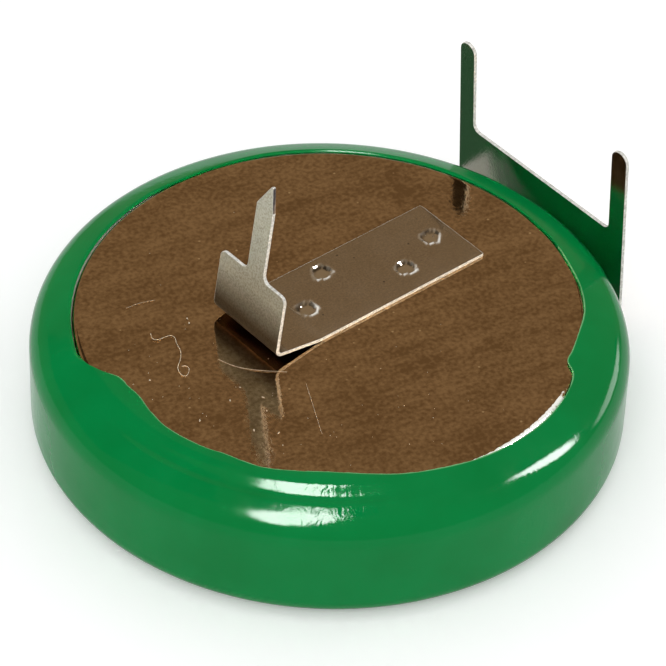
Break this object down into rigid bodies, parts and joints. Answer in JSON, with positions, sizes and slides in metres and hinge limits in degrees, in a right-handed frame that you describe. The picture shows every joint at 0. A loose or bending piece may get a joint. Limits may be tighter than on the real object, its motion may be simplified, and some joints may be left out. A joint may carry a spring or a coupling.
{
  "type": "lithium coin cell with solder tabs",
  "caption": "Flat round sealed cell in a shrunk plastic sleeve, with a folded tab welded to its cap and a wide two-pin tab from under its can.",
  "frame": {"origin": "on the cell's axis, at the outer face of the can's floor", "axes": "+Z along the cell's axis towards the negative cap and the pins' tips; +X along the tabs, from the negative pin to the plate with the two positive pins"},
  "size_m": [0.0253, 0.0248, 0.013],
  "materials": {
    "can_steel": "drawn nickel-plated steel, satin",
    "cap_steel": "smooth nickel-plated steel, semi-bright, with faint rolling streaks and dust",
    "tab_steel": "rolled nickel-plated strip, satin, with sheared edges",
    "sleeve_film": "glossy green shrink film",
    "seal_plastic": "natural polypropylene",
    "cathode_mix": "pressed black powder",
    "separator_felt": "non-woven felt",
    "lithium": "dull soft metal"
  },
  "bodies": {
    "root": {"positive_can": "can_steel", "negative_cap": "cap_steel", "seal": "seal_plastic", "cathode_collector": "can_steel", "cathode_pellet": "cathode_mix", "separator": "separator_felt", "lithium_anode": "lithium", "sleeve": "sleeve_film", "negative_tab": "tab_steel", "positive_tab": "tab_steel"}
  },
  "joints": []
}
